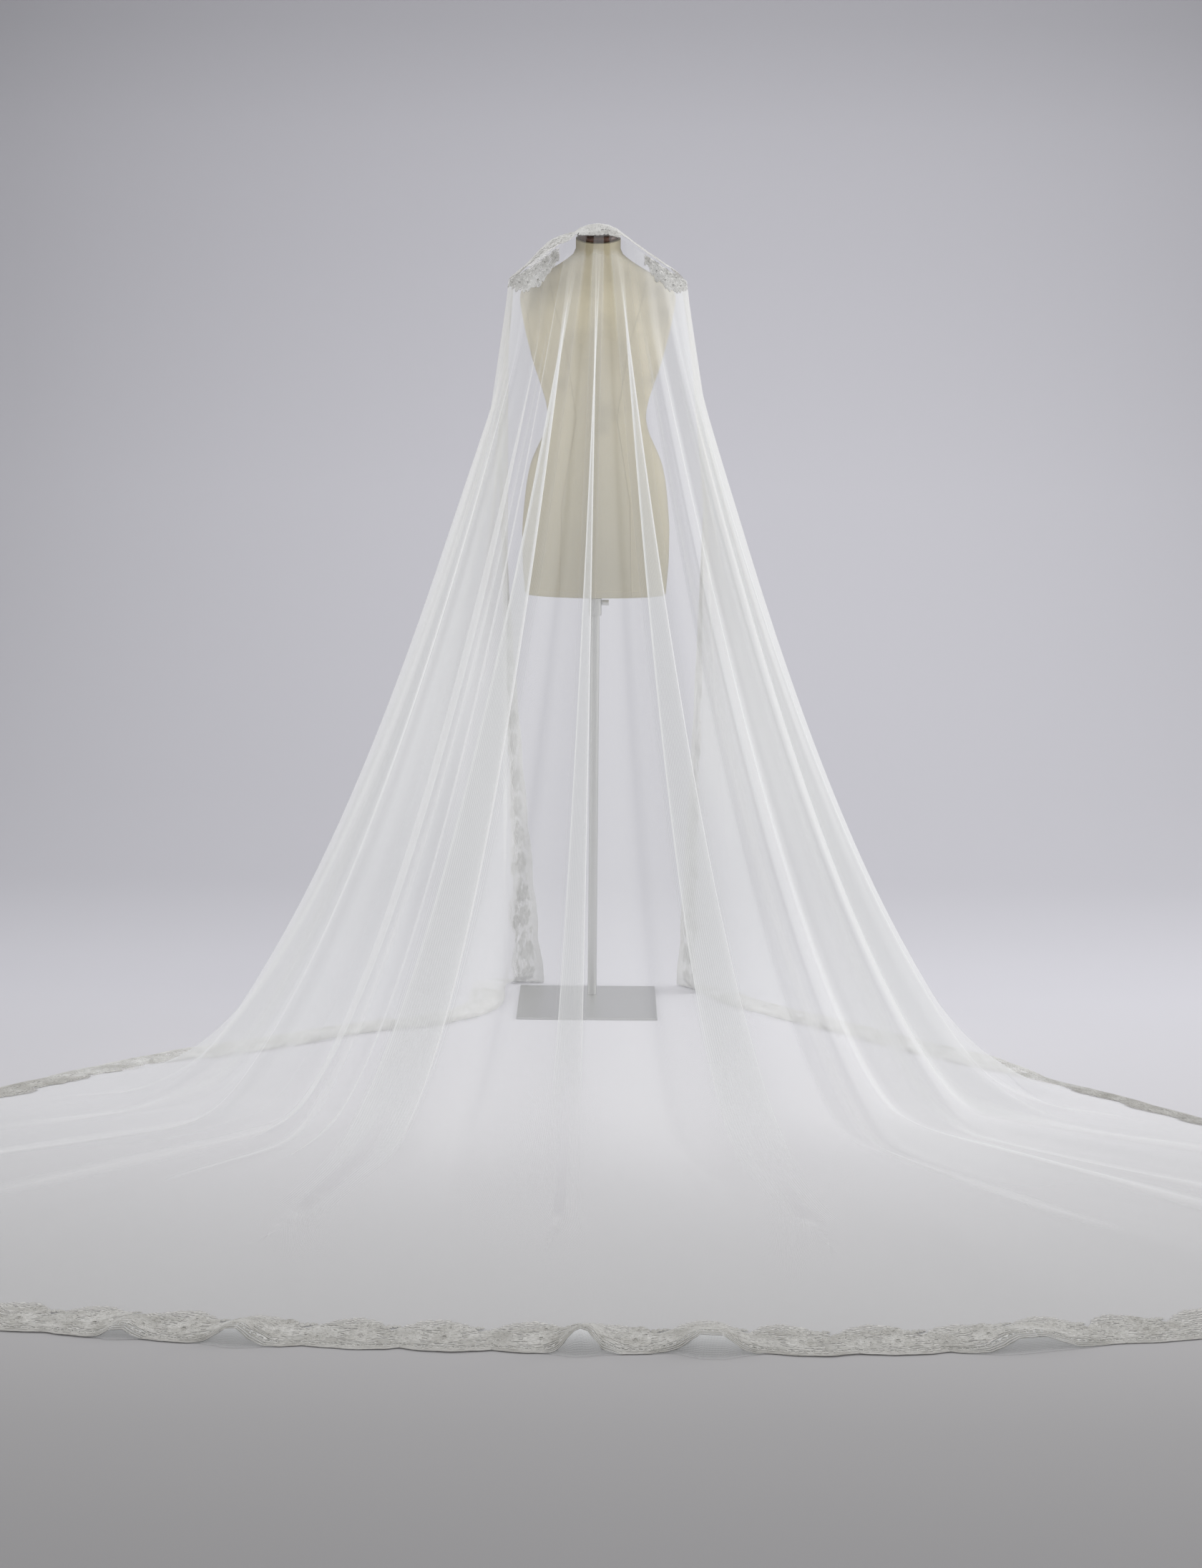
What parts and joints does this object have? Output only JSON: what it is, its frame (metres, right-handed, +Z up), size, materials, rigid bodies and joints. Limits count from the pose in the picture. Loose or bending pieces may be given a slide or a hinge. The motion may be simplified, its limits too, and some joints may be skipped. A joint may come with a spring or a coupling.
{
  "type": "long bridal veil on a dress form stand",
  "caption": "Sheer tulle bridal veil with a scalloped lace border, draped over a limbless dress form on a steel stand, its train spread flat on the floor in front.",
  "frame": {"origin": "middle of the base plate's underside, on the floor", "axes": "+Z up; -Y the way the form faces and the train runs; +X to the right as seen from in front of the train"},
  "size_m": [3.3828, 2.4979, 1.7832],
  "materials": {
    "tulle": "sheer ivory silk tulle",
    "lace": "corded floral lace, off-white",
    "canvas": "cream cotton canvas cover",
    "wood": "dark varnished",
    "steel": "satin"
  },
  "bodies": {
    "root": {"tulle_far_left": "tulle", "tulle_fall_left": "tulle", "tulle_fall_front": "tulle", "tulle_fall_right": "tulle", "tulle_far_right": "tulle", "train_left": "tulle", "train_front": "tulle", "train_right": "tulle", "lace_crown": "lace", "lace_shoulder_left": "lace", "lace_shoulder_right": "lace", "lace_edge_left": "lace", "lace_edge_right": "lace", "lace_far_left": "lace", "lace_train_left": "lace", "lace_train_front": "lace", "lace_train_right": "lace", "lace_far_right": "lace", "base_plate": "steel", "pole": "steel", "height_collar": "steel", "inner_rod": "steel", "thumb_screw": "steel", "form_body": "canvas", "neck_cap": "wood"}
  },
  "joints": []
}
